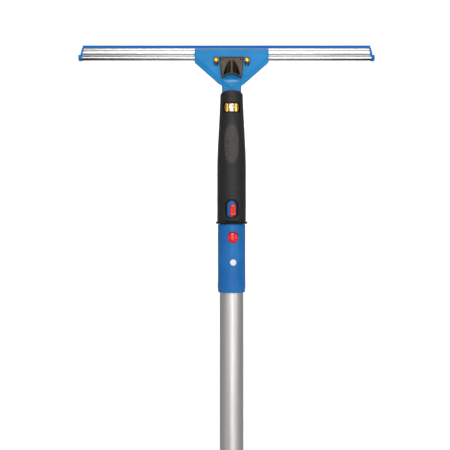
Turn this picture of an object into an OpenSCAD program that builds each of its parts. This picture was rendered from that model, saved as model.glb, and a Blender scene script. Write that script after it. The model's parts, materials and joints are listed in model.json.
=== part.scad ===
// Window cleaning squeegee on a two-section telescopic pole.
// Millimetres. +Z runs up the pole and the working face looks along -Y.
// The origin is the centre of the pole's bottom face.

/* [Rail and rubber] */
// Length of the aluminium rail along its base
rail_length = 347; // [250:1:450]
// How far the rail is set off the handle's axis; a multiple of the notch pitch
rail_offset = -6.1; // [-18.3:6.1:18.3]
// How far the rail's ends lean in towards the rubber's edge, in degrees
end_lean = 12; // [0:1:20]
// How far the rubber stands out of the rail
rubber_reach = 3.4; // [2:0.1:6]

/* [Head] */
// Width of the head across the rail
head_width = 89; // [76:1:110]
// Depth of the head, front face to back face
head_depth = 15.6; // [15:0.1:18]
// Travel of the rail release slider
slider_travel = 3; // [2:0.5:3]

/* [Handle] */
// Radius of the grip at the bottom
grip_r_base = 17.2; // [17:0.1:19]
// Radius of the grip at the mouth
grip_r_mouth = 13.4; // [13.3:0.1:14.5]
// Thickness of the soft grip over the core
grip_t = 1.6; // [1.2:0.1:1.8]

/* [Pole] */
// Height of the joint between handle and pole socket above the pole's bottom face
interface_z = 740; // [700:1:900]
// Length of the lower, outer tube
outer_tube_length = 406; // [370:1:430]
// Length of the upper, inner tube
inner_tube_length = 454; // [400:1:480]
// Turn of the pole in the handle, as far as the latch's play lets it, in degrees
pole_turn = 6; // [0:1:6]

/* [Hidden] */
$fn = 64;
eps = 0.1;          // overlap of a cutting shape past the face that it cuts

// colours
head_blue = [0.20, 0.53, 0.76];
pole_blue = [0.17, 0.39, 0.66];
rubber_blue = [0.05, 0.42, 0.70];
button_red = [0.80, 0.18, 0.17];
soft_black = [0.15, 0.14, 0.14];
hard_black = [0.10, 0.09, 0.09];
bright_alloy = [0.85, 0.85, 0.86];
satin_alloy = [0.75, 0.74, 0.72];
brass = [0.86, 0.62, 0.20];
steel = [0.70, 0.70, 0.72];
off_white = [0.84, 0.84, 0.88];

// rail section, heights above the rail's base
rail_z = 196.5;     // rail's base, above the interface
bead_w = 9.2;
bead_h = 4.6;
lip_half = 3.4;
lip_top = 14.2;
slit_half = 1.0;
bulb_z = 3.3;
bulb_r = 1.8;
cap_t = 2.4;        // end cap's plate
foot_t = 3.6;       // end cap's foot
rim = 0.8;          // how far an end cap stands round the rail's section
notch_pitch = 6.1;
notch_r = 2.2;
notch_count = 13;

// head, heights above the interface
head_top = 209;
head_shoulder = 194.5;
head_foot = 165.4;
neck_r = 11.65;
neck_half = 6.5;
face_y = -head_depth / 2;
bevel_w = 5.2;      // bevel along the slanted edges
bevel_side = 1.9;   // bevel down the sides
bevel_top = 1;
bevel_drop = 2.2;   // how far the bevels fall back
wall_y = face_y + 2.8;      // inside of the head's front wall
slot_gap = 0.15;
back_foot = 168.2;          // lower edge of the back cover

// release slider and its pins
pin_x = 18.3;
pin_z = rail_z - 1.2;
pin_r = 2;
pin_head_r = 3.45;
pin_pocket_r = 4.1;
spring_seat = 188.3;        // floor of the pin pockets, where the return springs stand
slider_top = 198.7;
slider_tip = 173;
slider_half_top = 14.2;
slider_half_tip = 11.6;
scoop_r = 12.2;             // thumb scoop, a round trough that runs out towards the slider's top
scoop_top = 196.2;
scoop_foot = 176;
scoop_depth = 5.5;          // at its foot
return_r = 1.36;            // return springs under the pins
return_wire_r = 0.2;

// tilt pivot, brass catch and handle
pivot_z = 138;
pivot_r = 1.5;
hub_r = 6.5;
hub_half = 6.3;
tilt_max = 30;
neck_step = 150;            // where the neck narrows to its hub
handle_top = 158.8;         // front of the handle's slanted mouth
handle_side = 154.6;        // the mouth at the handle's sides
hood_back = 1.5;            // the hood round the neck ends here, towards the back
core_top = 144.6;
hood_r = 11.9;
flange_r = 19;
flange_t = 3.2;
taper_start = 70;
socket_bore_r = 14.1;
socket_depth = 52;
catch_half_w = 8.3;
catch_half_h = 4.5;
catch_back_y = -9.7;
catch_lip_w = 6.2;          // lips that keep the catch in
catch_lip_h = 5.2;
leaf_seat_y = -7.9;
neck_stop_y = -6.9;
slot_z = 17.5;              // latch slot through handle
slot_half_w = 5.65;
slot_half_h = 9.9;

// pole socket, lever and rivet, heights from the interface down
socket_r = 16.5;
socket_bottom = -81.6;
plug_r = 14;
plug_top = 50;
tube_seat = -40;
lever_pivot_y = -9.2;
lever_pivot_z = -34;
lever_pin_r = 1.25;
lever_half_w = 3.6;
latch_z = 16;
latch_half_w = 3.4;
latch_half_h = 7.1;
latch_face_y = -16;
button_z = -16;
button_r = 6.3;
button_face_y = -18;
rivet_z = -45.5;
rivet_head_r = 3.8;
rivet_face_y = -15.9;

// tubes
inner_or = 13.5;
inner_ir = 12.3;
outer_or = 15;
outer_ir = 13.8;
end_cap_r = 17.6;
end_cap_flange = 18;
end_cap_plug = 16;
hang_z = 10.5;
hang_r = 4.5;
outer_tube_top = end_cap_flange + outer_tube_length;
inner_tube_top = interface_z + tube_seat;
inner_tube_z = inner_tube_top - inner_tube_length;
nut_r = 20;
nut_height = 44;
nut_z = outer_tube_top - 16;
collet_r = 17;

// ---- placing helpers ----

module at_interface() translate([0, 0, interface_z]) children();

// the pole and what is in its socket, turned in the handle
module on_pole() at_interface() rotate([0, 0, pole_turn]) children();

// a section drawn as (y, z), run along X
module along_x(length) rotate([90, 0, 90]) linear_extrude(length, center = true) children();

// an outline drawn as (x, z), run from y0 to y1
module facing_front(y0, y1)
    translate([0, y1, 0]) rotate([90, 0, 0]) linear_extrude(y1 - y0) children();

module peg_x(r, x0, x1) translate([x0, 0, 0]) rotate([0, 90, 0]) cylinder(r = r, h = x1 - x0);

module peg_y(r, y0, y1) translate([0, y1, 0]) rotate([90, 0, 0]) cylinder(r = r, h = y1 - y0);

module tube(r_out, r_in, z0, z1) difference() {
    translate([0, 0, z0]) cylinder(r = r_out, h = z1 - z0);
    translate([0, 0, z0 - eps]) cylinder(r = r_in, h = z1 - z0 + 2 * eps);
}

// an upright stadium, centred
module stadium(half_w, half_h) {
    for (s = [-1, 1]) translate([0, s * (half_h - half_w)]) circle(r = half_w);
    translate([-half_w, -(half_h - half_w)]) square([2 * half_w, 2 * (half_h - half_w)]);
}

// a coil spring along Z, its wire's ends flat to the wire
module coil(r, wire_r, turns, length, steps = 14, sides = 6) {
    rings = turns * steps;
    rise = (length - 2 * wire_r) / rings;
    function at(i, k) = let (a = 360 * i / steps, b = 360 * k / sides, q = r + wire_r * cos(b))
        [q * cos(a), q * sin(a), wire_r + rise * i + wire_r * sin(b)];
    points = [for (i = [0:rings], k = [0:sides - 1]) at(i, k)];
    sides_faces = [for (i = [0:rings - 1], k = [0:sides - 1]) let (n = (k + 1) % sides)
        [i * sides + k, i * sides + n, (i + 1) * sides + n, (i + 1) * sides + k]];
    first = [for (k = [sides - 1:-1:0]) k];
    last = [for (k = [0:sides - 1]) rings * sides + k];
    polyhedron(points, concat(sides_faces, [first, last]));
}

// ---- rail, rubber and end caps ----

module rail_outline(grow = 0) {
    side = [[2.7, bead_h / 2], [2.7, bead_h - 0.2], [lip_half, 7.4], [lip_half, 10.9], [lip_half - 0.4, 11.05],
            [lip_half - 0.4, 11.45], [lip_half, 11.6], [lip_half - 0.1, 12.9], [lip_half - 0.9, lip_top]];
    last = len(side) - 1;
    for (s = [-1, 1]) translate([s * (bead_w - bead_h) / 2, bead_h / 2]) circle(r = bead_h / 2 + grow);
    translate([-(bead_w - bead_h) / 2, -grow]) square([bead_w - bead_h, bead_h + 2 * grow]);
    polygon(concat([for (q = side) [q[0] + grow, q[1]]],
                   [for (i = [last:-1:0]) [-side[i][0] - grow, side[i][1]]]));
}

// everything between the rail's leaning ends, grown outwards by grow
module between_ends(grow = 0) {
    low = -10;
    high = 30;
    half = rail_length / 2 + grow;
    translate([rail_offset, 0, rail_z]) facing_front(-20, 20) polygon([
        [-half + low * tan(end_lean), low], [half - low * tan(end_lean), low],
        [half - high * tan(end_lean), high], [-half + high * tan(end_lean), high]]);
}

module on_rail() translate([rail_offset, 0, rail_z]) children();

module rail() color(bright_alloy) at_interface() difference() {
    intersection() {
        on_rail() along_x(rail_length + 20) difference() {
            rail_outline();
            translate([0, bulb_z]) circle(r = bulb_r);
            translate([-slit_half, bulb_z]) square([2 * slit_half, lip_top]);
        }
        between_ends();
    }
    for (i = [-(notch_count - 1) / 2 : (notch_count - 1) / 2])
        translate([rail_offset + i * notch_pitch, 0, pin_z]) peg_y(notch_r, -bead_w, bead_w);
}

module rubber_blade() color(rubber_blue) at_interface() {
    web_half = 0.85;
    tip_half = 1.15;
    intersection() {
        on_rail() along_x(rail_length + 20) {
            translate([-web_half, bulb_z + bulb_r]) square([2 * web_half, lip_top - bulb_z]);
            translate([-tip_half, lip_top + 0.2]) square([2 * tip_half, rubber_reach - 0.2]);
        }
        between_ends(cap_t);
    }
    on_rail() along_x(rail_length - 18) {
        translate([0, bulb_z]) circle(r = bulb_r - 0.15);
        translate([-web_half, bulb_z]) square([2 * web_half, bulb_r + 1]);
    }
}

module end_cap(side) color(rubber_blue) at_interface() {
    foot_x = side * (rail_length / 2 + foot_t / 2 - 0.1);
    difference() {
        union() {
            intersection() {
                on_rail() along_x(rail_length + 20) intersection() {
                    rail_outline(rim);
                    translate([-10, -10]) square([20, 10 + lip_top]);
                }
                between_ends(cap_t);
                translate([rail_offset + side * rail_length / 2, 0, rail_z + 5]) cube([30, 30, 40], center = true);
            }
            on_rail() translate([foot_x, 0, 0]) along_x(foot_t) intersection() {
                rail_outline(rim + 0.1);
                translate([-10, -10]) square([20, 10 + bead_h + 1.2]);
            }
        }
        between_ends();
        on_rail() along_x(rail_length + 20) translate([-slit_half, bead_h + 0.4]) square([2 * slit_half, 20]);
    }
    // plug that fills the bulb's channel
    on_rail() translate([side * (rail_length / 2 - 3), 0, bulb_z]) peg_x(bulb_r - 0.1, -4, 4);
}

module end_cap_left() end_cap(-1);

module end_cap_right() end_cap(1);

// ---- head ----

module head_outline() polygon([
    [-head_width / 2 + 0.5, head_top], [-head_width / 2, head_shoulder], [-neck_r, head_foot],
    [neck_r, head_foot], [head_width / 2, head_shoulder], [head_width / 2 - 0.5, head_top]]);

// the flat plateau of the face, which ends in a point over the neck
module plateau_outline() {
    slope = (head_shoulder - head_foot) / (head_width / 2 - neck_r);
    side = head_width / 2 - bevel_side;
    foot = head_foot - neck_r * slope + bevel_w * sqrt(1 + slope * slope);
    polygon([[-side, head_top - bevel_top], [-side, foot + side * slope], [0, foot],
             [side, foot + side * slope], [side, head_top - bevel_top]]);
}

// half of the head's body, its outer face bevelled; side is -1 for the front
module head_half(side) mirror([0, side < 0 ? 0 : 1, 0]) hull() {
    facing_front(face_y + bevel_drop, 0) head_outline();
    facing_front(face_y, face_y + bevel_drop) plateau_outline();
}

// the way through the head that the rail slides into
module rail_slot() on_rail() translate([-rail_offset, 0, 0]) along_x(head_width + 10) {
    for (s = [-1, 1])
        translate([s * (bead_w - bead_h) / 2, bead_h / 2]) circle(r = bead_h / 2 + slot_gap);
    translate([-(bead_w - bead_h) / 2, -slot_gap]) square([bead_w - bead_h, bead_h + 2 * slot_gap]);
    translate([-lip_half - slot_gap, bead_h / 2]) square([2 * (lip_half + slot_gap), 20]);
}

// the hollow that the release mechanism works in
module chamber(y0, y1) facing_front(y0, y1) polygon([
    [-25, rail_z + 1], [-25, spring_seat], [-13.4, spring_seat], [-11, 176], [11, 176],
    [13.4, spring_seat], [25, spring_seat], [25, rail_z + 1]]);

module screw_places() for (p = [[32.5, 190], [10, 170.8]], s = [-1, 1])
    translate([s * p[0], 0, p[1]]) children();

module neck() {
    intersection() {
        translate([0, 0, neck_step]) cylinder(r = neck_r, h = back_foot - 0.2 - neck_step);
        translate([-20, -neck_half, neck_step]) cube([40, 2 * neck_half, 40]);
    }
    translate([-hub_half, -neck_half, pivot_z]) cube([2 * hub_half, 2 * neck_half, neck_step - pivot_z + 1]);
    translate([0, 0, pivot_z]) peg_x(hub_r, -hub_half, hub_half);
}

module head_body() color(head_blue) at_interface() {
    difference() {
        union() {
            head_half(-1);
            neck();
        }
        rail_slot();
        chamber(wall_y, eps);
        // opening that joins the slider's paddle to its carrier
        facing_front(face_y - 1, wall_y + eps) translate([-8.4, 180.2]) square([16.8, 15.3]);
        // thumb dish below the paddle
        translate([0, face_y - 28, 180.5]) sphere(r = 30, $fn = 96);
        for (s = [-1, 1]) translate([s * pin_x, 0, pin_z]) {
            // pocket round each pin's head, and the slot that its shank moves in
            facing_front(face_y - 1, face_y + 1.8) {
                circle(r = pin_pocket_r);
                translate([0, spring_seat + pin_pocket_r - pin_z]) {
                    circle(r = pin_pocket_r);
                    translate([-pin_pocket_r, 0]) square([2 * pin_pocket_r, pin_z - spring_seat - pin_pocket_r]);
                }
            }
            facing_front(face_y - 1, wall_y + eps) translate([-2.2, spring_seat - pin_z]) square([4.4, pin_z - spring_seat]);
            peg_y(2.2, face_y - 1, 1);
        }
        screw_places() peg_y(1.3, -5, 1);
        // hub: bore for the pivot pin and ring groove for the catch's nose
        translate([0, 0, pivot_z]) {
            peg_x(pivot_r + 0.06, -20, 20);
            rotate([0, 90, 0]) rotate_extrude() translate([4.2, -2.3]) square([3, 4.6]);
        }
    }
}

module head_back() color(head_blue) at_interface() difference() {
    intersection() {
        head_half(1);
        translate([-60, 0.05, back_foot]) cube([120, 20, 60]);
    }
    rail_slot();
    chamber(-eps, -wall_y);
    screw_places() {
        peg_y(1.35, -1, 20);
        peg_y(2.6, head_depth / 2 - 2.3, 20);
    }
}

module head_screws() color(steel) at_interface() screw_places() difference() {
    union() {
        peg_y(1.25, -4.6, head_depth / 2 - 1.5);
        peg_y(2.5, head_depth / 2 - 2.3, head_depth / 2 - 1.1);
    }
    // cross recess
    for (a = [0, 90]) translate([0, head_depth / 2 - 1, 0]) rotate([0, a, 0]) cube([2.8, 1.4, 0.6], center = true);
}

// ---- rail release ----

module release_slider() color(hard_black) at_interface() {
    carrier_front = -3.2;
    carrier_back = -1.2;
    top_y = face_y - 2.4;
    tip_y = face_y - 7.4;
    base_y = face_y - 0.1;
    foot_r = 14.2;              // round of the hollow lower edge
    foot_z = slider_tip - 9;    // and its centre
    lip = 1.1;
    rib_half = 1.1;
    face_slope = (top_y - tip_y) / (slider_top - slider_tip);
    scoop_end_y = tip_y + (scoop_top - slider_tip) * face_slope;
    scoop_foot_y = tip_y + (scoop_foot - slider_tip) * face_slope + scoop_depth;
    scoop_lean = atan((scoop_foot_y - scoop_end_y) / (scoop_top - scoop_foot));
    difference() {
        // paddle: a wedge that stands out further towards its tip
        intersection() {
            along_x(40) polygon([[base_y, slider_top], [top_y, slider_top], [tip_y, slider_tip], [base_y, slider_tip]]);
            facing_front(-20, 0) difference() {
                polygon([[-slider_half_top, slider_top], [-slider_half_top + 0.4, 190],
                         [-slider_half_tip, slider_tip], [slider_half_tip, slider_tip],
                         [slider_half_top - 0.4, 190], [slider_half_top, slider_top]]);
                translate([0, foot_z]) circle(r = foot_r);
            }
        }
        // thumb scoop, with a rib down its middle and a lip along its lower edge
        difference() {
            translate([0, scoop_foot_y - scoop_r / cos(scoop_lean), scoop_foot]) rotate([scoop_lean, 0, 0])
                translate([0, 0, -30]) cylinder(r = scoop_r, h = 80);
            facing_front(-40, 0) {
                translate([-rib_half, slider_tip - 10]) square([2 * rib_half, 60]);
                translate([0, foot_z]) circle(r = foot_r + lip);
            }
        }
        for (s = [-1, 1]) translate([s * 10.6, 0, slider_top - 3.4]) peg_y(0.8, -20, top_y + 0.2);
    }
    // neck through the head's wall and the carrier behind it
    translate([-8, base_y - 1, 183.6]) cube([16, carrier_front - base_y + 1.5, 11.8]);
    difference() {
        facing_front(carrier_front, carrier_back) polygon([
            [-22.5, pin_z + 0.8], [-22.5, 191.8], [-13, 191.8], [-8, 183.6], [8, 183.6], [13, 191.8],
            [22.5, 191.8], [22.5, pin_z + 0.8]]);
        for (s = [-1, 1]) translate([s * pin_x, 0, pin_z]) peg_y(pin_r + 0.03, -5, 5);
    }
}

module brass_pins() color(brass) at_interface() for (s = [-1, 1]) translate([s * pin_x, 0, pin_z]) {
    peg_y(pin_r, face_y, 4);
    difference() {
        peg_y(pin_head_r, face_y - 3.4, face_y + 1.2);
        peg_y(1.5, face_y - 5, face_y - 2.8);
    }
}

module slider_springs() color(steel) at_interface() {
    seat_gap = 0.02;
    for (s = [-1, 1]) translate([s * pin_x, wall_y + 0.05, spring_seat + seat_gap])
        coil(return_r, return_wire_r, 3, pin_z - pin_r - spring_seat - 2 * seat_gap);
}

// ---- handle ----

// radius of the grip at a height above the interface: straight, then a soft taper to the mouth
function grip_r(z) = let (t = max(0, min(1, (z - taper_start) / (handle_top - taper_start))))
    grip_r_base - (grip_r_base - grip_r_mouth) * (t + (1 - cos(180 * t)) / 2) / 2;

grip_steps = [for (i = [0:11]) taper_start + (handle_top + 2 - taper_start) * i / 11];

module pivot_pin() color(steel) at_interface() translate([0, 0, pivot_z]) peg_x(pivot_r, -11.6, 11.6);

// all that lies above the slanted mouth, high in front
module above_mouth(lift) translate([0, 0, handle_side + lift])
    rotate([-atan((handle_top - handle_side) / grip_r_mouth), 0, 0]) translate([-30, -30, 0]) cube([60, 60, 30]);

module latch_slot(y1, grow) facing_front(-25, y1)
    translate([0, slot_z]) stadium(slot_half_w + grow, slot_half_h + grow);

// where the neck comes to at its full tilt
module tilted_neck() translate([0, 0, pivot_z]) rotate([-tilt_max, 0, 0])
    translate([-hub_half - 0.2, 0, 0]) cube([2 * hub_half + 0.4, neck_half + 0.35, 30]);

module handle_core() color(hard_black) at_interface() {
    skin = grip_t + 0.05;
    difference() {
        union() {
            rotate_extrude() polygon(concat(
                [[0, core_top], [0, 0.1], [flange_r - 1, 0.1], [flange_r, 1.2], [flange_r, flange_t - 1.2],
                 [flange_r - 1, flange_t], [grip_r_base - skin, flange_t]],
                [for (z = grip_steps) if (z < core_top) [grip_r(z) - skin, z]],
                [[grip_r(core_top) - skin, core_top]]));
            // stop in front of the neck, cut off with the slanted mouth
            difference() {
                translate([0, 0, core_top - 1]) cylinder(r = hood_r - 0.05, h = 20);
                translate([-30, neck_stop_y, 0]) cube([60, 60, 200]);
                above_mouth(-0.6);
            }
        }
        translate([0, 0, -1]) cylinder(r = socket_bore_r, h = socket_depth + 1);
        translate([0, 0, socket_depth - 1]) cylinder(r = 11, h = 71);
        // room for the neck's hub, the catch and its leaf spring
        translate([-hub_half - 0.3, -8.3, 128]) cube([2 * hub_half + 0.6, 18.4, core_top - 127.6]);
        tilted_neck();
        facing_front(-20, leaf_seat_y - 0.4) translate([0, pivot_z])
            square([2 * catch_half_w + 0.5, 2 * catch_half_h + 0.4], center = true);
        facing_front(catch_back_y - 0.9, leaf_seat_y - 0.4) translate([0, pivot_z])
            square([2 * catch_lip_w + 0.4, 2 * catch_lip_h + 0.4], center = true);
        facing_front(catch_back_y, leaf_seat_y) translate([0, pivot_z])
            square([15.4, 7.6], center = true);
        translate([0, 0, pivot_z]) peg_x(pivot_r + 0.01, -11.7, 11.7);
        latch_slot(0, 0);
    }
}

module handle_grip() color(soft_black) at_interface() difference() {
    rotate_extrude() polygon(concat(
        [[grip_r_base - grip_t, flange_t + 0.05], [grip_r_base, flange_t + 0.05]],
        [for (z = grip_steps) [grip_r(z), z]],
        [[hood_r, handle_top + 2], [hood_r, core_top + 0.05], [grip_r(core_top) - grip_t, core_top + 0.05]],
        [for (i = [len(grip_steps) - 1:-1:0]) if (grip_steps[i] < core_top)
            [grip_r(grip_steps[i]) - grip_t, grip_steps[i]]]));
    // the back of the mouth is open for the neck to tilt
    above_mouth(0);
    tilted_neck();
    translate([-30, hood_back, core_top + 0.05]) cube([60, 60, 30]);
    facing_front(-25, -5) translate([0, pivot_z]) square([2 * catch_half_w + 3, 2 * catch_half_h + 2.4], center = true);
    latch_slot(0, 2);
}

module brass_catch() color(brass) at_interface() translate([0, 0, pivot_z]) {
    difference() {
        intersection() {
            facing_front(-14.1, catch_back_y) intersection() {
                circle(r = catch_half_w);
                square([20, 2 * catch_half_h], center = true);
            }
            translate([0, 0, -10]) cylinder(r = 14.1, h = 20);
        }
        // round dish for the thumb
        translate([0, -20.4, 0]) sphere(r = 7.3);
    }
    peg_y(1.8, catch_back_y - 0.5, catch_back_y + 3.5);
    facing_front(catch_back_y - 0.8, catch_back_y) square([2 * catch_lip_w, 2 * catch_lip_h], center = true);
}

module catch_spring() color(steel) at_interface() translate([0, 0, pivot_z]) {
    thick = 0.4;
    half = 7.4;
    front = catch_back_y + 0.05;
    sag = leaf_seat_y - thick - 0.05 - front;
    bow_r = (half * half + sag * sag) / (2 * sag) + thick;
    difference() {
        translate([0, front + bow_r, -3.5]) intersection() {
            tube(bow_r, bow_r - thick, 0, 7);
            translate([-half, -bow_r - 1, -1]) cube([2 * half, 5, 10]);
        }
        peg_y(2.2, -20, 0);
    }
}

// ---- pole socket and latch lever ----

module pole_socket() color(pole_blue) on_pole() {
    bore = inner_ir + 0.1;
    ear_z = lever_pivot_z;
    difference() {
        union() {
            rotate_extrude() difference() {
                polygon([[0, socket_bottom], [socket_r - 0.5, socket_bottom], [socket_r + 0.3, socket_bottom + 7],
                         [socket_r, socket_bottom + 16], [socket_r, -1.5], [socket_r - 0.8, 0], [plug_r, 0],
                         [plug_r, plug_top - 2], [plug_r - 1.5, plug_top], [0, plug_top]]);
                translate([0, socket_bottom - 1]) square([inner_or + 0.05, tube_seat - socket_bottom + 1]);
                translate([0, tube_seat - 2]) square([bore, plug_top - 4 - tube_seat + 2]);
            }
            // ears that hold the lever's pin
            for (s = [-1, 1]) intersection() {
                translate([s * (lever_half_w + 2.2) - 1.9, -15, ear_z - 3]) cube([3.8, 10, 7]);
                translate([0, 0, ear_z - 10]) cylinder(r = bore + 1, h = 20);
            }
        }
        translate([0, 0, latch_z]) facing_front(-20, -5) stadium(latch_half_w + 0.3, latch_half_h + 0.7);
        translate([0, 0, button_z]) facing_front(-25, -5) translate([0, 0.25]) stadium(button_r + 0.3, button_r + 0.55);
        translate([0, lever_pivot_y, ear_z]) peg_x(lever_pin_r + 0.01, -20, 20);
        translate([0, 0, rivet_z]) {
            peg_y(2.03, -25, 0);
            peg_y(rivet_head_r + 0.05, -25, rivet_face_y);
        }
    }
}

module release_lever() color(button_red) on_pole() difference() {
    union() {
        translate([-lever_half_w, -11.4, lever_pivot_z]) cube([2 * lever_half_w, 2.8, latch_z + 9 - lever_pivot_z]);
        translate([0, lever_pivot_y, lever_pivot_z]) peg_x(2.4, -lever_half_w, lever_half_w);
        intersection() {
            translate([0, 0, latch_z]) facing_front(latch_face_y, -9) stadium(latch_half_w, latch_half_h);
            translate([0, latch_face_y + 22, latch_z]) rotate([0, 90, 0]) cylinder(r = 22.3, h = 20, center = true);
        }
        intersection() {
            translate([0, 0, button_z]) peg_y(button_r, button_face_y, -9);
            translate([0, button_face_y + 13.2, button_z]) sphere(r = 13.2);
        }
    }
    translate([0, lever_pivot_y, lever_pivot_z]) peg_x(lever_pin_r + 0.06, -20, 20);
}

module lever_pin() color(steel) on_pole()
    translate([0, lever_pivot_y, lever_pivot_z]) peg_x(lever_pin_r, -7.4, 7.4);

module lever_spring() color(steel) on_pole() {
    spring_z = 3;
    front = -8.5;
    back = sqrt(pow(inner_ir + 0.1, 2) - 9);
    translate([0, front, spring_z]) rotate([-90, 0, 0]) coil(2.6, 0.35, 8, back - front);
}

module socket_rivet() color(off_white) on_pole() translate([0, 0, rivet_z]) {
    peg_y(2, -16.4, -11.3);
    peg_y(3, -11.9, -11.2);
    translate([0, rivet_face_y, 0]) rotate([90, 0, 0]) rotate_extrude()
        polygon([[0, 0], [rivet_head_r, 0], [rivet_head_r, 0.9], [rivet_head_r - 0.8, 1.6], [0, 1.6]]);
}

// ---- telescopic pole ----

module inner_tube() color(satin_alloy) difference() {
    tube(inner_or, inner_ir, inner_tube_z, inner_tube_top);
    on_pole() translate([0, 0, rivet_z]) peg_y(2.03, -20, 0);
}

module inner_bush() color(hard_black) {
    bush_h = 26;
    difference() {
        union() {
            translate([0, 0, inner_tube_z - 4]) cylinder(r = outer_ir - 0.08, h = 3.95);
            translate([0, 0, inner_tube_z - 1]) cylinder(r = inner_ir - 0.05, h = bush_h);
        }
        translate([0, 0, inner_tube_z - 5]) cylinder(r = inner_ir - 2, h = bush_h + 10);
    }
}

module outer_tube() color(satin_alloy) difference() {
    tube(outer_or, outer_ir, end_cap_flange, outer_tube_top);
    translate([0, 0, nut_z - 8]) peg_y(1.63, 0, 20);
}

// clamp body on the outer tube's end, its fingers split round the inner tube
module collet() color(hard_black) {
    finger_top = nut_z + nut_height - 5;
    difference() {
        union() {
            tube(collet_r + 1.8, outer_or + 0.02, nut_z - 16, nut_z - 0.6);
            tube(collet_r, outer_or + 0.02, nut_z - 1, outer_tube_top);
            rotate_extrude() polygon([
                [inner_or + 0.08, outer_tube_top + 0.05], [outer_or + 0.02, outer_tube_top + 0.05],
                [outer_or + 0.02, outer_tube_top - 0.5], [collet_r, outer_tube_top - 0.5], [collet_r, outer_tube_top + 8],
                [inner_or + 1.9, finger_top], [inner_or + 0.08, finger_top]]);
        }
        for (i = [0:5]) rotate([0, 0, 60 * i + 30])
            translate([0, -0.8, outer_tube_top + 3]) cube([30, 1.6, 40]);
        translate([0, 0, nut_z - 8]) peg_y(1.63, 0, 30);
    }
}

module collet_rivet() color(steel) translate([0, 0, nut_z - 8]) {
    peg_y(1.6, 14, 18.6);
    peg_y(2.8, 18.9, 19.7);
    peg_y(1.6, 18.5, 19);
}

module lock_nut() color(pole_blue) {
    bore = collet_r + 0.08;
    ribs = 12;
    difference() {
        union() {
            translate([0, 0, nut_z]) rotate_extrude() polygon([
                [0, 0], [nut_r - 1, 0], [nut_r, 1], [nut_r, nut_height - 8], [nut_r - 3.4, nut_height], [0, nut_height]]);
            for (i = [0:ribs - 1]) rotate([0, 0, i * 360 / ribs])
                translate([nut_r - 0.2, 0, nut_z + 3]) cylinder(r = 1.3, h = nut_height - 13);
        }
        rotate_extrude() polygon([
            [0, nut_z - 1], [bore, nut_z - 1], [bore, outer_tube_top + 8], [inner_or + 2.1, nut_z + nut_height - 4.4],
            [inner_or + 0.5, nut_z + nut_height - 4.4], [inner_or + 0.5, nut_z + nut_height + 1],
            [0, nut_z + nut_height + 1]]);
    }
}

module lower_grip() color(soft_black) {
    z0 = end_cap_flange + 0.05;
    length = 118;
    rings = 9;
    difference() {
        union() {
            translate([0, 0, z0]) cylinder(r = 18.2, h = length);
            translate([0, 0, z0 + length - 4]) cylinder(r = 19, h = 4);
        }
        translate([0, 0, z0 - 1]) cylinder(r = outer_or + 0.02, h = length + 2);
        for (i = [0:rings - 1]) translate([0, 0, z0 + 14 + i * 10.5]) rotate_extrude()
            translate([18.9, 0]) circle(r = 1.6);
    }
}

module pole_end_cap() color(pole_blue) difference() {
    union() {
        rotate_extrude() polygon([
            [0, 0], [end_cap_r - 2.5, 0], [end_cap_r, 3], [end_cap_r, end_cap_flange - 0.05], [0, end_cap_flange - 0.05]]);
        cylinder(r = outer_ir - 0.05, h = end_cap_flange + end_cap_plug);
    }
    translate([0, 0, hang_z]) peg_y(hang_r, -30, 30);
}

rubber_blade();
rail();
end_cap_left();
end_cap_right();
head_body();
head_back();
head_screws();
release_slider();
brass_pins();
slider_springs();
pivot_pin();
handle_core();
handle_grip();
brass_catch();
catch_spring();
pole_socket();
release_lever();
lever_pin();
lever_spring();
socket_rivet();
inner_tube();
inner_bush();
outer_tube();
collet();
collet_rivet();
lock_nut();
lower_grip();
pole_end_cap();
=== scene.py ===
import json
import math
import bmesh
import bpy
from mathutils import Matrix, Vector


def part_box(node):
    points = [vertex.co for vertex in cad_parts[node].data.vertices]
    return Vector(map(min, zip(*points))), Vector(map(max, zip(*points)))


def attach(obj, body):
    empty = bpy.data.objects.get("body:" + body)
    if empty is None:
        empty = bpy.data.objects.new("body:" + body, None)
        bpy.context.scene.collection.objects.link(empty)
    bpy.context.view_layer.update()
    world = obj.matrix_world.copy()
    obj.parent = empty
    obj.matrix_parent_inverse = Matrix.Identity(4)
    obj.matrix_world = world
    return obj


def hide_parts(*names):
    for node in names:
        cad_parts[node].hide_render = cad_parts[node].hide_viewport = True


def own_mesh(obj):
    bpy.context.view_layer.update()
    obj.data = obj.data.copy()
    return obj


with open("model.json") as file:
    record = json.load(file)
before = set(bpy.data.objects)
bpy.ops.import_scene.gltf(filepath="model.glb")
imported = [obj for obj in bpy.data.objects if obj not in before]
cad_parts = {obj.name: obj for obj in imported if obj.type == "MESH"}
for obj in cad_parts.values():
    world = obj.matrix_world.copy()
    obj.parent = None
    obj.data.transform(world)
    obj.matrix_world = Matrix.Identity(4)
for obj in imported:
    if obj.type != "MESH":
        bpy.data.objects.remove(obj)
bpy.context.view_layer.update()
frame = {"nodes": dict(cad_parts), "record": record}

MM = 0.001              # a millimetre in the scene's metres
WELD = 0.002            # corners closer than this are one, in millimetres
FLAT = 0.4              # faces that turn by less than this are one flat, in degrees


# ---- sizes, in millimetres, worked out from the frame ----

def low(node, axis):
    """The lower end of a CAD node along an axis."""
    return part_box(node)[0][axis] / MM


def high(node, axis):
    """The upper end of a CAD node along an axis."""
    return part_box(node)[1][axis] / MM


def middle(node, axis):
    return (low(node, axis) + high(node, axis)) / 2


X, Y, Z = 0, 1, 2
INTERFACE = low("handle_core", Z) - 0.1     # where the handle's foot meets the pole's socket
POLE_TURN = math.radians(6)                 # turn of the pole in the handle
FACE_Y = low("head_body", Y)                # the head's front
HEAD_TOP = high("head_body", Z)
PIN_HEAD_R = 3.45
PIN_X = (high("brass_pins", X) - low("brass_pins", X)) / 2 - PIN_HEAD_R
PIN_Z = middle("brass_pins", Z)


# ---- mesh helpers, all in millimetres ----

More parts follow.
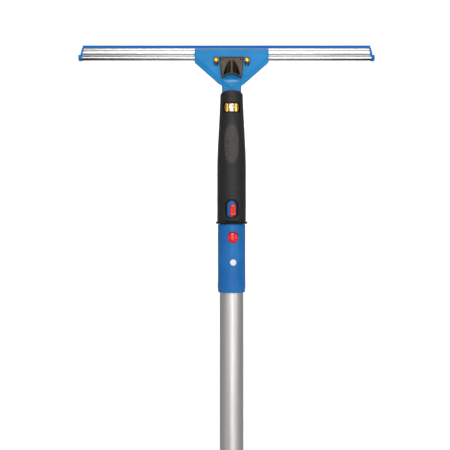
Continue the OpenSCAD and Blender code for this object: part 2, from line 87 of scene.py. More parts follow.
def from_cad(node, join_flats=True):
    """A copy of a CAD node's mesh, its corners welded and its flat faces whole."""
    bm = bmesh.new()
    bm.from_mesh(frame["nodes"][node].data)
    bmesh.ops.scale(bm, vec=(1 / MM, 1 / MM, 1 / MM), verts=bm.verts)
    bmesh.ops.remove_doubles(bm, verts=bm.verts, dist=WELD)
    if join_flats:
        bmesh.ops.dissolve_limit(bm, angle_limit=math.radians(FLAT), verts=bm.verts, edges=bm.edges)
    return bm


def as_object(bm, name="work"):
    """An object of that mesh, linked into the scene; bm is freed."""
    mesh = bpy.data.meshes.new(name)
    bm.to_mesh(mesh)
    bm.free()
    obj = bpy.data.objects.new(name, mesh)
    bpy.context.collection.objects.link(obj)
    return obj


def throw_away(obj):
    """Removes a work object and its mesh."""
    mesh = obj.data
    bpy.data.objects.remove(obj)
    bpy.data.meshes.remove(mesh)


def modified(bm, *steps):
    """The mesh that modifiers make of bm; each step is a modifier's kind and its settings."""
    work = as_object(bm)
    for kind, settings in steps:
        modifier = work.modifiers.new(kind.lower(), kind)
        for key, value in settings.items():
            setattr(modifier, key, value)
    result = bmesh.new()
    result.from_object(work, bpy.context.evaluated_depsgraph_get())
    throw_away(work)
    return result


def cut(bm, *tools):
    """What is left of bm when the tools' shapes are taken away."""
    for tool in tools:
        blade = as_object(tool, "tool")
        bm = modified(bm, ("BOOLEAN", {"object": blade, "operation": "DIFFERENCE", "solver": "EXACT"}))
        throw_away(blade)
    return bm


def bevelled(bm, width, angle):
    """Rounds every edge that turns by more than the angle, in degrees."""
    return modified(bm, ("BEVEL", {
        "width": width, "segments": 3, "limit_method": "ANGLE",
        "angle_limit": math.radians(angle), "miter_outer": "MITER_ARC"}))


def moulded(bm, voxel, passes):
    """Rounds all edges as a mould does, by an even mesh that is smoothed."""
    return modified(bm, ("REMESH", {"mode": "VOXEL", "voxel_size": voxel}),
                    ("SMOOTH", {"factor": 0.5, "iterations": passes}))


def rounded(corners, steps=6):
    """An outline whose corners (x, y) or (x, y, radius) are rounded to arcs."""
    most = 0.49                     # of a side's length, so that two arcs on it never meet
    out = []
    for i, corner in enumerate(corners):
        here = Vector(corner[:2])
        if len(corner) == 2:
            out.append(here)
            continue
        before = Vector(corners[i - 1][:2]) - here
        after = Vector(corners[(i + 1) % len(corners)][:2]) - here
        half = before.angle(after) / 2
        reach = min(corner[2] / math.tan(half), most * before.length, most * after.length)
        before.normalize()
        after.normalize()
        centre = here + (before + after).normalized() * (reach / math.cos(half))
        start = here + before * reach - centre
        end = here + after * reach - centre
        out += [centre + start.slerp(end, k / steps) for k in range(steps + 1)]
    return out


def on_circle(radius, turn):
    """The point (x, y) of a circle at that angle, in radians."""
    return radius * math.cos(turn), radius * math.sin(turn)


def lathe(profile, segments):
    """A closed profile of (radius, z) turned about Z. A point on the axis is one vertex."""
    bm = bmesh.new()
    rings = []
    for r, z in profile:
        turns = 1 if r < 1e-6 else segments
        rings.append([bm.verts.new((*on_circle(r, 2 * math.pi * i / segments), z)) for i in range(turns)])
    for a, b in zip(rings, rings[1:] + rings[:1]):
        for i in range(segments):
            j = (i + 1) % segments
            face = []
            for v in (a[i % len(a)], a[j % len(a)], b[j % len(b)], b[i % len(b)]):
                if v not in face:
                    face.append(v)
            if len(face) > 2:
                bm.faces.new(face)
    bmesh.ops.recalc_face_normals(bm, faces=bm.faces)
    return bm


def moved(bm, *matrices):
    """The mesh after each matrix in turn."""
    for matrix in matrices:
        bmesh.ops.transform(bm, matrix=matrix, verts=bm.verts)
    return bm


# turns a shape made along Z so that its Z points along Y, away from the front
TO_BACK = Matrix.Rotation(math.radians(-90), 4, "X")


def added(*parts):
    """Several meshes as one."""
    whole = bmesh.new()
    for part in parts:
        mesh = bpy.data.meshes.new("part")
        part.to_mesh(mesh)
        part.free()
        whole.from_mesh(mesh)
        bpy.data.meshes.remove(mesh)
    return whole


def coil(radius, wire_r, turns, length):
    """A coil spring along Z from 0 to length, whose end turns lie nearly flat."""
    per_turn, sides = 24, 10
    flat = 0.75 / turns                             # share of the wire that lies flat at each end
    flat_rise = 1.5 * wire_r                        # height that each of those stretches gains
    free_rise = length - 2 * wire_r - 2 * flat_rise
    bm = bmesh.new()
    rings = []
    count = int(turns * per_turn)
    for i in range(count + 1):
        t = i / count
        first = min(t / flat, 1)
        between = min(max((t - flat) / (1 - 2 * flat), 0), 1)
        last = max((t - 1 + flat) / flat, 0)
        z = wire_r + flat_rise * (first + last) + free_rise * between
        ring = []
        for k in range(sides):
            out, up = on_circle(wire_r, 2 * math.pi * k / sides)
            ring.append(bm.verts.new((*on_circle(radius + out, 2 * math.pi * i / per_turn), z + up)))
        rings.append(ring)
    for a, b in zip(rings, rings[1:]):
        for k in range(sides):
            j = (k + 1) % sides
            bm.faces.new((a[k], a[j], b[j], b[k]))
    bm.faces.new(rings[0][::-1])
    bm.faces.new(rings[-1])
    bmesh.ops.recalc_face_normals(bm, faces=bm.faces)
    return bm


def step(value, start, end):
    """0 before start, 1 after end, smooth in between."""
    t = max(0, min(1, (value - start) / (end - start)))
    return t * t * (3 - 2 * t)


def make_smooth(mesh):
    """Smooth shading on every face."""
    mesh.polygons.foreach_set("use_smooth", [True] * len(mesh.polygons))


def weigh_normals(obj):
    """Lets large faces look flat beside the small ones of their rounded edges."""
    weighted = obj.modifiers.new("weighted", "WEIGHTED_NORMAL")
    weighted.keep_sharp = True


def mark(piece, name, value_at):
    """Keeps value_at(place in millimetres), a number from 0 to 1, on each vertex for the material."""
    values = [value_at(vertex.co / MM) for vertex in piece.data.vertices]
    piece.data.attributes.new(name, "FLOAT", "POINT").data.foreach_set("value", values)


def make_piece(name, bm, body, node, sharp=None):
    """Makes the piece in metres, on its body, in place of the CAD node, with the node's slot and material.

    sharp is the angle from which an edge stays crisp; without it the piece is smooth all over."""
    bmesh.ops.scale(bm, vec=(MM, MM, MM), verts=bm.verts)
    piece = as_object(bm, name)
    piece.data.materials.clear()
    piece.data.materials.append(MATERIALS[SLOTS[node]])
    make_smooth(piece.data)
    if sharp:
        piece.data.set_sharp_from_angle(angle=math.radians(sharp))
        weigh_normals(piece)
    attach(piece, body)
    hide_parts(node)
    return piece


def soften(part, width, angle):
    """Rounds the edges of a CAD node that stays, by modifiers alone."""
    weld = part.modifiers.new("weld", "WELD")
    weld.merge_threshold = WELD * MM
    flat = part.modifiers.new("flat", "DECIMATE")
    flat.decimate_type = "DISSOLVE"
    flat.angle_limit = math.radians(FLAT)
    bevel = part.modifiers.new("bevel", "BEVEL")
    bevel.width = width * MM
    bevel.segments = 2
    bevel.limit_method = "ANGLE"
    bevel.angle_limit = math.radians(angle)
    bevel.miter_outer = "MITER_ARC"
    weigh_normals(part)
    make_smooth(part.data)


# ---- materials ----

def srgb(r, g, b):
    """Linear colour from 0-255 values as seen on a screen."""
    def lin(c):
        c = c / 255
        return c / 12.92 if c <= 0.04045 else ((c + 0.055) / 1.055) ** 2.4
    return (lin(r), lin(g), lin(b), 1)


class Mat:
    """A principled material that is built up node by node."""

    def __init__(self, **inputs):
        self.mat = bpy.data.materials.new("surface")
        self.mat.use_nodes = True
        self.nodes, self.links = self.mat.node_tree.nodes, self.mat.node_tree.links
        self.shader = self.nodes["Principled BSDF"]
        self.coords = self.nodes.new("ShaderNodeTexCoord")
        for key, value in inputs.items():
            self.shader.inputs[key.replace("_", " ")].default_value = value

    def noise(self, scale, detail, stretch=(1, 1, 1)):
        """A noise texture, scale in features per metre; an axis with a small stretch has long features."""
        return self.texture("ShaderNodeTexNoise", scale, detail, stretch).outputs["Fac"]

    def cells(self, scale, detail):
        """Distance from the middle of the nearest of many small cells."""
        return self.texture("ShaderNodeTexVoronoi", scale, detail, (1, 1, 1)).outputs["Distance"]

    def texture(self, kind, scale, detail, stretch):
        """A texture node of that kind, fixed to the object."""
        mapping = self.nodes.new("ShaderNodeMapping")
        mapping.inputs["Scale"].default_value = stretch
        self.links.new(self.coords.outputs["Object"], mapping.inputs["Vector"])
        tex = self.nodes.new(kind)
        tex.inputs["Scale"].default_value = scale
        tex.inputs["Detail"].default_value = detail
        self.links.new(mapping.outputs["Vector"], tex.inputs["Vector"])
        return tex

    def ranged(self, value, lo, hi, source=(0.3, 0.7)):
        """The value, stretched from the source range to lo and hi; a noise seldom leaves 0.3 to 0.7."""
        node = self.nodes.new("ShaderNodeMapRange")
        node.inputs["From Min"].default_value, node.inputs["From Max"].default_value = source
        node.inputs["To Min"].default_value, node.inputs["To Max"].default_value = lo, hi
        self.links.new(value, node.inputs["Value"])
        return node.outputs["Result"]

    def mixed(self, factor, a, b):
        """Colour a where the factor is 0 and b where it is 1."""
        node = self.nodes.new("ShaderNodeMix")
        node.data_type = "RGBA"
        self.links.new(factor, node.inputs["Factor"])
        for socket, colour in ((node.inputs[6], a), (node.inputs[7], b)):
            if isinstance(colour, tuple):
                socket.default_value = colour
            else:
                self.links.new(colour, socket)
        return node.outputs[2]

    def mottled(self, scale, detail, dark, light, stretch=(1, 1, 1)):
        """A colour that wanders between dark and light."""
        return self.mixed(self.ranged(self.noise(scale, detail, stretch), 0, 1), dark, light)

    def spot(self, centre, size):
        """1 at the centre, falling to 0 at the ends of an ellipsoid; both in millimetres."""
        mapping = self.nodes.new("ShaderNodeMapping")
        mapping.vector_type = "TEXTURE"
        mapping.inputs["Location"].default_value = [c * MM for c in centre]
        mapping.inputs["Scale"].default_value = [c * MM for c in size]
        self.links.new(self.coords.outputs["Object"], mapping.inputs["Vector"])
        ball = self.nodes.new("ShaderNodeTexGradient")
        ball.gradient_type = "SPHERICAL"
        self.links.new(mapping.outputs["Vector"], ball.inputs["Vector"])
        return ball.outputs["Fac"]

    def product(self, a, b):
        node = self.nodes.new("ShaderNodeMath")
        node.operation = "MULTIPLY"
        self.links.new(a, node.inputs[0])
        self.links.new(b, node.inputs[1])
        return node.outputs[0]

    def attribute(self, name):
        """The number that mark() kept on the vertices, or 0 on a piece without it."""
        node = self.nodes.new("ShaderNodeAttribute")
        node.attribute_name = name
        return node.outputs["Fac"]

    def colour(self, value):
        self.links.new(value, self.shader.inputs["Base Color"])

    def roughness(self, value):
        self.links.new(value, self.shader.inputs["Roughness"])

    def bump(self, height, depth):
        """Bumps of that depth, in millimetres, on top of those that are there."""
        node = self.nodes.new("ShaderNodeBump")
        node.inputs["Strength"].default_value = 1.0
        node.inputs["Distance"].default_value = depth * MM
        previous = self.shader.inputs["Normal"].links
        if previous:
            self.links.new(previous[0].from_socket, node.inputs["Normal"])
        self.links.new(height, node.inputs["Height"])
        self.links.new(node.outputs["Normal"], self.shader.inputs["Normal"])


def plastic(dark, light, rough, grain=0.02, shine=0.5, over=None):
    """Moulded plastic; over(material, colour) may lay something on its colour."""
    m = Mat(Specular_IOR_Level=shine)
    colour = m.mottled(45, 4, dark, light)
    if over:
        colour = over(m, colour)
    m.colour(colour)
    m.roughness(m.ranged(m.noise(700, 2), rough - 0.05, rough + 0.06))
    m.bump(m.noise(1100, 3), grain)
    return m.mat


def painted_dish_highlight(m, unmarked):
    """A painted highlight: pale blue laid on the head at the foot of the slider's dish, where its lower rim
    would catch the light.
    """
    place, size = (0, FACE_Y, INTERFACE + 170.4), (10, 4, 2.2)
    where = m.ranged(m.spot(place, size), 0, 0.62, (0, 0.75))
    patchy = m.ranged(m.noise(420, 4, (1, 1, 2)), 0.6, 1)
    # painted highlight: the pale blue that the dish's lower rim would show in the light
    return m.mixed(m.product(where, patchy), unmarked, srgb(156, 196, 216))


def paddle_painted_light(m, unmarked):
    """Painted light: brown on the slider paddle's front and ribs, where light falls on its raised faces;
    where the mark is 0 the black stays, as painted shade in the scoop and along the outer edges.
    """
    patchy = m.ranged(m.noise(220, 5), 0.75, 1)
    # painted light: the brown that the lit raised faces of the paddle show
    return m.mixed(m.product(m.attribute("painted_light"), patchy), unmarked, srgb(86, 70, 48))


def drawn_metal(dark, light, rough):
    """Drawn metal with fine lines along Z."""
    stretch = (1, 1, 0.012)
    m = Mat(Metallic=1.0)
    lines = m.noise(2600, 4, stretch)
    m.colour(m.mottled(400, 3, dark, light, stretch))
    m.roughness(m.ranged(lines, rough - 0.06, rough + 0.08))
    m.bump(lines, 0.01)
    return m.mat


def rail_metal(dark, light, shade_colour):
    """Bright metal drawn along X, rougher and darkened by painted shade in its channel, in a line near its
    wall's top and along its underside.
    """
    stretch, long_patches = (0.012, 1, 1), (1, 0.05, 0.05)
    m = Mat(Metallic=1.0)
    # painted shade: a dark colour, and more roughness, where the rail's mark says: its channel, a line near
    # the wall's top and its underside
    painted_shade = m.product(m.attribute("painted_shade"), m.ranged(m.noise(14, 2, long_patches), 0.75, 1))
    m.colour(m.mixed(painted_shade, m.mottled(400, 3, dark, light, stretch), shade_colour))
    m.roughness(m.ranged(painted_shade, 0.2, 0.5, (0, 1)))
    m.bump(m.noise(2600, 4, stretch), 0.01)
    return m.mat


def polished_metal(dark, light, rough):
    """Smooth metal with a faint haze."""
    m = Mat(Metallic=1.0)
    m.colour(m.mottled(160, 4, dark, light))
    m.roughness(m.ranged(m.noise(1500, 5), rough - 0.04, rough + 0.07))
    m.bump(m.noise(900, 5), 0.006)
    return m.mat


def metal_with_painted_glint(dark, light, painted_glint, rough):
    """Smooth metal, with a painted glint, pale near-white, where the mark says."""
    m = Mat(Metallic=1.0)
    # painted glint: near-white laid in the catch's dish, where the lights would show
    m.colour(m.mixed(m.attribute("painted_glint"), m.mottled(420, 4, dark, light), painted_glint))
    m.roughness(m.ranged(m.noise(900, 3), rough - 0.05, rough + 0.08))
    m.bump(m.noise(1500, 2), 0.006)
    return m.mat


def rubbery(dark, light, rough):
    """Matt rubber, extruded along X."""
    stretch = (0.02, 1, 1)
    m = Mat(Specular_IOR_Level=0.15)
    m.colour(m.mottled(260, 4, dark, light, stretch))
    m.roughness(m.ranged(m.noise(900, 3, stretch), rough - 0.06, rough + 0.08))
    m.bump(m.noise(1400, 3, stretch), 0.02)
    return m.mat


def stippled(dark, light, tongue, rough):
    """Soft-touch plastic with a spark-eroded grain, paler on the thumb rest."""
    m = Mat(Specular_IOR_Level=0.4)
    flecks = m.ranged(m.noise(950, 3), 0, 1, (0.36, 0.64))
    m.colour(m.mixed(m.attribute("tongue"), m.mixed(flecks, dark, light), m.mixed(flecks, light, tongue)))
    m.roughness(m.ranged(m.noise(600, 3), rough - 0.07, rough + 0.07))
    m.bump(m.cells(1000, 3), 0.14)
    m.bump(m.noise(3200, 3), 0.02)
    return m.mat


MATERIALS = {
    # over the head's blue: a painted highlight at the foot of the slider's dish
    "head_blue": plastic(srgb(10, 120, 182), srgb(18, 130, 194), rough=0.4, shine=0.25, over=painted_dish_highlight),
    "pole_blue": plastic(srgb(12, 94, 162), srgb(20, 106, 174), rough=0.42, shine=0.3),
    "rubber": rubbery(srgb(0, 100, 176), srgb(0, 112, 190), rough=0.55),
    # painted shade on the rail's channel, wall line and underside
    "rail_alloy": rail_metal(srgb(204, 204, 206), srgb(228, 228, 230), shade_colour=srgb(40, 38, 38)),
    "tube_alloy": drawn_metal(srgb(206, 204, 200), srgb(224, 222, 218), rough=0.5),
    # brass, with a painted glint in the catch's dish
    "brass": metal_with_painted_glint(srgb(222, 156, 56), srgb(242, 190, 98), painted_glint=srgb(244, 243, 236), rough=0.14),
    "steel": polished_metal(srgb(206, 206, 210), srgb(230, 230, 234), rough=0.34),
    # over the black: painted light on the slider's paddle, painted shade in its scoop and along its edges
    "hard_black": plastic(srgb(8, 6, 5), srgb(15, 12, 10), rough=0.38, shine=0.22, over=paddle_painted_light),
    "soft_black": stippled(srgb(7, 6, 6), srgb(38, 36, 35), tongue=srgb(74, 70, 67), rough=0.48),
    "button_red": plastic(srgb(206, 18, 22), srgb(222, 32, 34), rough=0.15, grain=0.012),
    "rivet_white": plastic(srgb(226, 226, 238), srgb(240, 240, 250), rough=0.35),
}
for slot_name, material in MATERIALS.items():
    material.name = slot_name
SLOTS = {row["node"]: row["material_slot"] for row in frame["record"]["subparts"]}


# ---- head ----

def make_head():
    """The head's shell, with two fine lines moulded across its face over the rail's edges, and its back."""
    upper_line, lower_line = HEAD_TOP - 5.7, HEAD_TOP - 13.9
    half_h, depth = 0.9, 0.35
    beyond = high("head_body", X) + 1               # past the side of the head
    beside_pin = PIN_X + 4.5                        # clear of the pin's pocket
    edge, turn = 0.35, 14

    def groove(x0, x1, z):
        """A V that is cut across the face."""
        bm = bmesh.new()
        for x in (x0, x1):
            bm.verts.new((x, FACE_Y + depth, z))
            bm.verts.new((x, FACE_Y - depth, z + half_h))
            bm.verts.new((x, FACE_Y - depth, z - half_h))
        bmesh.ops.convex_hull(bm, input=bm.verts)
        return bm

    shell = cut(bevelled(from_cad("head_body"), edge, turn), groove(-beyond, beyond, upper_line),
                groove(-beyond, -beside_pin, lower_line), groove(beside_pin, beyond, lower_line))
    make_piece("head_shell", shell, "head", "head_body", sharp=40)
    back = bevelled(from_cad("head_back"), edge, turn)
    make_piece("head_back_cover", back, "head", "head_back", sharp=40)


def make_slider():
    """The release slider, its edges rounded as moulded; its raised parts are painted brown as lit, its scoop
    and outer edges kept black as painted shade.
    """
    node = "release_slider"
    voxel, passes = 0.24, 6
    piece = make_piece("thumb_slider", moulded(from_cad(node, False), voxel, passes), node, node)
    tip, top = low(node, Z), high(node, Z)
    tip_y, top_y = low(node, Y), FACE_Y - 2.4       # its front leans out towards the tip
    half_tip, half_top, flare = 11.6, 13.8, 0.13    # its sides open upwards until they are half_top apart

    def painted_light_at(p):
        """1 on the paddle's front and its ribs, 0 in the scoop and along the outer edges: painted light
        where 1, painted shade where 0.
        """
        front = tip_y + (p.z - tip) * (top_y - tip_y) / (top - tip)
        side = min(half_tip + flare * (p.z - tip), half_top)
        on_front = 1 - step(p.y - front, 0.15, 0.6)
        below_top = 1 - step(p.z, top - 1.6, top - 1.0)
        within = 1 - step(abs(p.x), side - 1.1, side - 0.6)
        return on_front * below_top * within

    # painted light on the raised faces, painted shade in the scoop and along the outer edges
    mark(piece, "painted_light", painted_light_at)


def make_pins():
    """Two turned pins, each with a domed head that has a small recess."""
    back, front = high("brass_pins", Y), low("brass_pins", Y)
    shank_r, shank_edge = 2.0, 0.4
    head_back, head_edge = FACE_Y + 1.2, 0.2
    dome_depth = 1.5
    profile = [(0, back), (shank_r - shank_edge, back), (shank_r, back - shank_edge), (shank_r, head_back),
               (PIN_HEAD_R - head_edge, head_back), (PIN_HEAD_R, head_back - head_edge)]
    for turn in range(0, 70, 10):
        r, out = on_circle(1, math.radians(turn))
        profile.append((PIN_HEAD_R * r, front + dome_depth * (1 - out)))
    recess = ((2.0, 0.08), (1.85, 0.14), (1.5, 0.6), (0.6, 0.85), (0, 0.9))
    profile += [(r, front + sunk) for r, sunk in recess]
    pins = [moved(lathe(profile, 64), TO_BACK, Matrix.Translation((x, 0, PIN_Z))) for x in (-PIN_X, PIN_X)]
    make_piece("pin_pair", added(*pins), "release_slider", "brass_pins", sharp=35)


def make_return_springs():
    """The springs under the pins, which the slider squashes."""
    node = "slider_springs"
    foot, length = low(node, Z), high(node, Z) - low(node, Z)
    turns, wire_r, travel = 4, 0.3, 3
    radius = (high(node, Y) - low(node, Y)) / 2 - wire_r
    springs = [moved(coil(radius, wire_r, turns, length), Matrix.Translation((x, middle(node, Y), foot)))
               for x in (-PIN_X, PIN_X)]
    piece = make_piece("return_springs", added(*springs), "head", node)
    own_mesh(piece)


def bar(profile, half, lean, centre_x):
    """A profile of (y, z, dull) run along X between ends that lean in as they rise.

    half is its half length where z is 0. The last number is kept on the mesh as how much painted shade it
    has there."""
    bm = bmesh.new()
    painted_shade = bm.verts.layers.float.new("painted_shade")
    ends = []
    for side in (-1, 1):
        ring = [bm.verts.new((centre_x + side * (half - z * math.tan(lean)), y, z)) for y, z, _ in profile]
        for v, (_, _, value) in zip(ring, profile):
            v[painted_shade] = value
        ends.append(ring)
    for i in range(len(profile)):
        j = (i + 1) % len(profile)
        bm.faces.new((ends[0][i], ends[0][j], ends[1][j], ends[1][i]))
    bm.faces.new(ends[0])
    bm.faces.new(ends[1][::-1])
    bmesh.ops.recalc_face_normals(bm, faces=bm.faces)
    return bm


def rail_profile():
    """The rail's outline as (y, height above its foot, painted shade).

    From the foot up: the bead, the waist, the wall with a line of painted shade near its top, the lip, and
    back down inside the channel, which has painted shade too."""
    bead_off, bead_r = 2.3, 2.3
    bulb_z, bulb_r = 3.3, 1.8
    half = []
    for turn in range(-90, 76, 6):
        out, up = on_circle(bead_r, math.radians(turn))
        # painted shade on the bead's underside
        half.append((bead_off + out, bead_r + up, 1 - step(up / bead_r, -0.48, -0.3)))
    half += [(2.62, 4.66, 0.9), (2.55, 4.9, 0.9), (2.5, 5.2, 0.5), (2.5, 5.9, 0.4), (2.6, 6.1, 0.6),
             (3.0, 6.65, 1), (3.3, 6.9, 1), (3.4, 7.15, 1)]
    half += [(3.4, 7.5, 0.12), (3.4, 9.6, 0.15), (3.4, 10.4, 0.35), (3.4, 10.85, 0.35),
             (3.3, 10.95, 0.6), (3.02, 11.1, 1), (3.02, 11.4, 1)]
    half += [(3.3, 11.55, 0.3), (3.4, 11.65, 0), (3.36, 12.2, 0), (3.32, 12.8, 0.3), (3.2, 13.2, 0.3),
             (2.65, 14.1, 0), (2.45, 14.2, 0.5), (1.1, 14.2, 1), (1.0, 14.1, 1)]
    for turn in range(56, -91, -18):
        out, up = on_circle(bulb_r, math.radians(turn))
        half.append((out, bulb_z + up, 1))
    return half + [(-y, z, painted_shade) for y, z, painted_shade in half[::-1]]


def make_rail():
    """The drawn rail, notched under its foot for the pins."""
    node = "rail"
    lean = math.radians(12)
    centre, half_length = middle(node, X), (high(node, X) - low(node, X)) / 2
    bm = moved(bar(rail_profile(), half_length, lean, centre), Matrix.Translation((0, 0, low(node, Z))))
    pitch, notch_r, through, count = 6.1, 2.2, 8, 13
    for i in range(count):
        notch = lathe([(0, -through), (notch_r, -through), (notch_r, through), (0, through)], 32)
        x = centre + (i - (count - 1) / 2) * pitch
        bm = cut(bm, moved(notch, TO_BACK, Matrix.Translation((x, 0, PIN_Z))))
    make_piece("bright_rail", bm, "head", node, sharp=28)


# ---- handle ----

def grip_radius(z):
    """The grip's outer radius: straight, then a soft taper to the mouth. z is above the interface."""
    base_r, mouth_r, taper_start, mouth_z = 17.2, 13.4, 70, 158.8
    t = max(0, min(1, (z - taper_start) / (mouth_z - taper_start)))
    return base_r - (base_r - mouth_r) * (t + (1 - math.cos(math.pi * t)) / 2) / 2


def on_tongue(p):
    """1 on the thumb rest in front, 0 off it."""
    centre, half_h, half_w, power = INTERFACE + 95, 24.5, 8.7, 2.3
    if p.y > 0:
        return 0
    reach = (abs(p.x / half_w) ** power + abs((p.z - centre) / half_h) ** power) ** (1 / power)
    return 1 - step(reach, 0.84, 1.04)


def make_grip():
    """The soft grip, with a thumb rest sunk into its front.

    Moulding moves its outside a little, which is put back, and tightens the hood at its mouth, which is
    opened again, because the neck needs all of that room to tilt."""
    voxel, passes, kept = 0.42, 3, 0.4
    sink = 0.4
    core_top, hood_r = INTERFACE + 144.6, 12.0      # the hood stands on the core and is this wide inside
    slot_foot, slot_half = core_top - 4, 6.5        # the hood's slot at the back, for the neck
    slot_reach, slot_front = 0.7, 8
    bm = moulded(from_cad("handle_grip", False), voxel, passes)
    for v in bm.verts:
        r = math.hypot(v.co.x, v.co.y)
        true_r = grip_radius(v.co.z - INTERFACE)
        near = 1 - step(abs(r - true_r), 0.05, 0.12)
        if near > 0:
            aim = true_r - sink * on_tongue(v.co)
            scale = 1 + near * (aim / r - 1)
            v.co.x *= scale
            v.co.y *= scale
        elif v.co.z > core_top and r < hood_r:
            v.co.x *= hood_r / r
            v.co.y *= hood_r / r
        if v.co.y > slot_front and v.co.z > slot_foot and slot_half - slot_reach < abs(v.co.x) < slot_half:
            v.co.x = math.copysign(slot_half, v.co.x)
    piece = make_piece("soft_grip", modified(bm, ("DECIMATE", {"ratio": kept})), "pole_upper", "handle_grip")
    mark(piece, "tongue", on_tongue)


def make_catch():
    """The catch, its thumb dish widened to nearly its whole height and painted pale as a glint."""
    node = "brass_catch"
    ball_r, dish_r = 12, 4.1
    edge, turn = 0.35, 25
    middle_z = middle(node, Z)
    ball = bmesh.new()
    bmesh.ops.create_icosphere(ball, subdivisions=5, radius=ball_r)
    moved(ball, Matrix.Translation((0, low(node, Y) - math.sqrt(ball_r ** 2 - dish_r ** 2), middle_z)))
    piece = make_piece("catch_button", bevelled(cut(from_cad(node), ball), edge, turn), node, node, sharp=40)

    def in_painted_glint(p):
        """1 in the dish, where the painted glint goes, 0 outside it."""
        return 1 - step(math.hypot(p.x, p.z - middle_z), dish_r - 0.9, dish_r - 0.1)

    # painted glint in the dish
    mark(piece, "painted_glint", in_painted_glint)


def make_catch_leaf():
    """The leaf spring behind the catch, which the catch squashes."""
    node = "catch_spring"
    piece = make_piece("catch_leaf", from_cad(node), "pole_upper", node, sharp=30)
    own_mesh(piece)


# ---- pole ----

def make_lever():
    """The latch and its button, on one lever."""
    node = "release_lever"
    voxel, passes = 0.22, 4
    make_piece("latch_lever", moulded(from_cad(node, False), voxel, passes), node, node)


def on_pole(bm, z):
    """A shape made along Z, laid from front to back at that height and turned with the pole."""
    return moved(bm, TO_BACK, Matrix.Translation((0, 0, z)), Matrix.Rotation(POLE_TURN, 4, "Z"))


def make_lever_spring():
    """The coil behind the latch, which the lever squashes."""
    z = INTERFACE + 3
    front, length, turns = -8.5, 20.53, 8
    radius, wire_r = 2.6, 0.35
    spring = moved(coil(radius, wire_r, turns, length), Matrix.Translation((0, 0, front)))
    piece = make_piece("lever_coil", on_pole(spring, z), "pole_upper", "lever_spring")
    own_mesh(piece)


def make_rivet():
    """The white stud in the sleeve, with a shallow dimple.

    Its profile is (radius, distance from the pole's axis, radius of the corner)."""
    z = INTERFACE - 45.5
    head_r, shank_r, foot_r, dimple_r = 3.3, 2, 3, 1.9
    face, seat, foot, foot_top = -17.5, -15.9, -11.2, -11.9
    dimple = face + 0.22
    profile = rounded([(0, foot), (foot_r, foot, 0.2), (foot_r, foot_top), (shank_r, foot_top),
                       (shank_r, seat - 0.1), (head_r, seat - 0.02), (head_r, face + 0.75, 0.5),
                       (head_r - 0.8, face, 0.6), (dimple_r + 0.4, face, 0.3), (dimple_r, dimple, 0.3),
                       (0, dimple)])
    make_piece("white_stud", on_pole(lathe(profile, 64), z), "pole_upper", "socket_rivet", sharp=40)


def make_tube(name, node, body, outer, inner):
    """A drawn tube with lightly broken ends."""
    foot, top = low(node, Z), high(node, Z)
    edge = 0.3
    profile = rounded([(outer, foot, edge), (outer, top, edge), (inner, top, edge), (inner, foot, edge)], 3)
    make_piece(name, lathe(profile, 144), body, node, sharp=60)


def make_lower_grip():
    """Ribbed grip of the lower tube."""
    node = "lower_grip"
    foot, top = low(node, Z), high(node, Z)
    outer, collar, bore = 18.2, 19.0, 15.02
    count, pitch, first = 9, 10.5, 14
    deep, half, slope = 0.9, 1.9, 0.9               # of a groove between two ribs
    collar_foot = top - 5
    outline = [(bore, foot), (outer, foot, 0.8)]
    for i in range(count):
        z = foot + first + i * pitch
        outline += [(outer, z - half, 0.5), (outer - deep, z - half + slope, 0.6),
                    (outer - deep, z + half - slope, 0.6), (outer, z + half, 0.5)]
    outline += [(outer, collar_foot, 0.8), (collar, collar_foot + 1, 0.7), (collar, top, 0.9), (bore, top)]
    make_piece("ribbed_grip", lathe(rounded(outline, 5), 144), "pole_lower", node, sharp=50)


# ---- the object ----

make_head()
make_rail()
make_slider()
make_pins()
make_return_springs()
make_grip()
make_catch()
make_catch_leaf()
make_lever()
make_lever_spring()
make_rivet()
make_tube("upper_tube", "inner_tube", "pole_upper", outer=13.5, inner=12.3)
make_tube("lower_tube", "outer_tube", "pole_lower", outer=15, inner=13.8)
make_lower_grip()

# for the nodes that stay: width of a rounded edge in millimetres, and the turn in degrees that makes one
USUAL_EDGE = (0.2, 30)
EDGES = {"rubber_blade": (0.25, 30), "end_cap_left": (0.3, 25), "end_cap_right": (0.3, 25),
         "handle_core": (0.4, 30), "pole_socket": (0.35, 30), "lock_nut": (0.5, 28), "collet": (0.3, 30),
         "pole_end_cap": (0.5, 30)}
for node, slot_name in SLOTS.items():
    part = frame["nodes"][node]
    part.data.materials.clear()
    part.data.materials.append(MATERIALS[slot_name])
    if not part.hide_render:
        soften(part, *EDGES.get(node, USUAL_EDGE))


# ---- studio ----

def stage_piece(name, rows, material):
    """A smooth sheet through rows of points."""
    bm = bmesh.new()
    rows = [[bm.verts.new(point) for point in row] for row in rows]
    for a, b in zip(rows, rows[1:]):
        for i in range(len(a) - 1):
            bm.faces.new((a[i], a[i + 1], b[i + 1], b[i]))
    sheet = as_object(bm, name)
    make_smooth(sheet.data)
    sheet.data.materials.append(material)
    sheet.visible_glossy = False        # black cards in a studio do the same for the object's edges
    return sheet


def make_floor():
    """A pale floor that runs up into a wall behind. Its profile is (y, z), in metres."""
    half, front, back, bend, top = 6, -4, 3.5, 1.6, 5
    steps = 16
    profile = [(front, 0), (back - bend, 0)]
    for k in range(1, steps + 1):
        out, up = on_circle(bend, math.pi / 2 * (k / steps - 1))
        profile.append((back - bend + out, bend + up))
    profile.append((back, top))
    paper = Mat(Roughness=0.9)
    paper.colour(paper.mottled(3, 2, srgb(246, 245, 243), srgb(250, 249, 248)))
    stage_piece("stage", [[(-half, y, z), (half, y, z)] for y, z in profile], paper.mat)


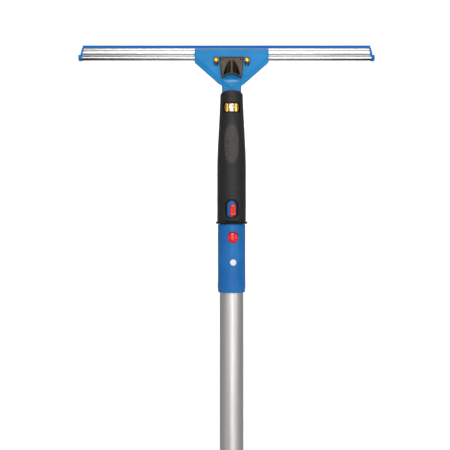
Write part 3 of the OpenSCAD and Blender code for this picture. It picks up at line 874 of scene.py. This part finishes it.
def make_round_wall():
    """A pale glow all around, for the views from other sides. Only the camera sees it. In metres."""
    radius, foot, top, steps = 8, -4, 12, 64
    glow = Mat(Roughness=0.9, Emission_Color=srgb(240, 239, 237), Emission_Strength=1.0)
    glow.colour(glow.mottled(3, 2, srgb(20, 20, 20), srgb(24, 24, 24)))
    ring = [on_circle(radius, 2 * math.pi * k / steps) for k in range(steps + 1)]
    wall = stage_piece("round_wall", [[(x, y, z) for x, y in ring] for z in (foot, top)], glow.mat)
    wall.visible_diffuse = False
    wall.visible_shadow = False


def area_light(name, at, target, size, brightness, colour=(1, 1, 1)):
    """A soft light, in metres; brightness is what it looks like, where white paper in full light is 1."""
    lamp = bpy.data.lights.new(name, "AREA")
    lamp.shape = "RECTANGLE"
    lamp.size, lamp.size_y = size
    lamp.energy = brightness * math.pi * size[0] * size[1]
    lamp.color = colour
    obj = bpy.data.objects.new(name, lamp)
    obj.location = at
    obj.rotation_euler = (Vector(target) - Vector(at)).to_track_quat("-Z", "Y").to_euler()
    bpy.context.collection.objects.link(obj)


def make_camera():
    """Level, straight in front, and seeing a width of 0.54 m at 1 m."""
    distance, width = 1.0, 0.54
    left, below_interface = 0.0079, 1.2 * MM
    data = bpy.data.cameras.new("camera")
    data.sensor_width = 36
    data.lens = data.sensor_width * distance / width
    camera = bpy.data.objects.new("camera", data)
    camera.location = (-left, -distance, INTERFACE * MM - below_interface)
    camera.rotation_euler = (math.radians(90), 0, 0)
    bpy.context.collection.objects.link(camera)
    bpy.context.scene.camera = camera


def make_world():
    """A faint cool light from everywhere."""
    world = bpy.data.worlds.new("world")
    world.use_nodes = True
    background = world.node_tree.nodes["Background"]
    background.inputs["Color"].default_value = (0.9, 0.92, 0.95, 1)
    background.inputs["Strength"].default_value = 0.34
    bpy.context.scene.world = world


make_floor()
make_round_wall()
make_camera()
area_light("strip", at=(0.3, -2.4, 0.2), target=(0.05, 0, 0.5), size=(1.3, 1.0), brightness=3.8)
area_light("key", at=(0.1, -1.9, 2.15), target=(0, 0, 0.9), size=(1.1, 0.7), brightness=6.6,
           colour=(1, 0.95, 0.9))
area_light("panel", at=(0, -2.6, 1.55), target=(0, 0, 0.95), size=(2.4, 0.4), brightness=0.75)
area_light("spark", at=(0.1, -2.5, 1.2), target=(0, 0, 0.88), size=(1.3, 0.3), brightness=6)
area_light("left", at=(-1.7, -1.8, 0.9), target=(0, 0, 0.7), size=(0.5, 1.6), brightness=1.8)
area_light("right", at=(1.7, -1.8, 0.9), target=(0, 0, 0.7), size=(0.6, 1.6), brightness=2.4)
area_light("wall", at=(0, 1.2, 3.6), target=(0, 3.4, 1.0), size=(4, 1.5), brightness=6)
make_world()
bpy.context.scene.view_settings.view_transform = "Standard"
